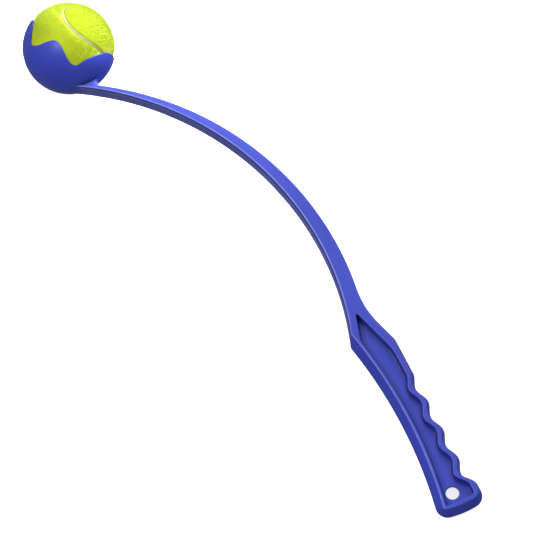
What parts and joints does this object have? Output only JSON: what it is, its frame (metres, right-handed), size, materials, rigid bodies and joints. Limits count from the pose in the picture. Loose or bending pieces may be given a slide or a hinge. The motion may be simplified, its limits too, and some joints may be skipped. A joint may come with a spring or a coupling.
{
  "type": "dog ball launcher stick",
  "caption": "Curved one-piece throwing stick with a grooved, pocketed handle, a hang hole and a wavy spherical cup that grips a felt-covered ball until it is thrown or pulled out.",
  "frame": {"origin": "middle of the hang hole, half way through the handle's web", "axes": "+X along the handle towards the arm, +Y to the palm side of the handle, +Z along the hang hole, square to the flat side of the stick"},
  "size_m": [0.483, 0.148, 0.0658],
  "materials": {
    "stick_plastic": "satin-gloss blue moulded plastic",
    "ball_rubber": "matt black rubber",
    "ball_felt": "napped yellow-green felt",
    "ball_seam": "matt pale rubber"
  },
  "bodies": {
    "launcher": {"ball_cup": "stick_plastic", "throwing_arm": "stick_plastic", "handle_rim": "stick_plastic", "handle_web": "stick_plastic"},
    "ball": {"ball_core_half_a": "ball_rubber", "ball_core_half_b": "ball_rubber", "felt_panel_a": "ball_felt", "felt_panel_b": "ball_felt", "felt_seam": "ball_seam"}
  },
  "joints": [
    {"name": "ball_release", "type": "slide", "parent": "launcher", "child": "ball", "axis": [0.6293, -0.7771, 0], "range_m": [0, 0.08]}
  ]
}
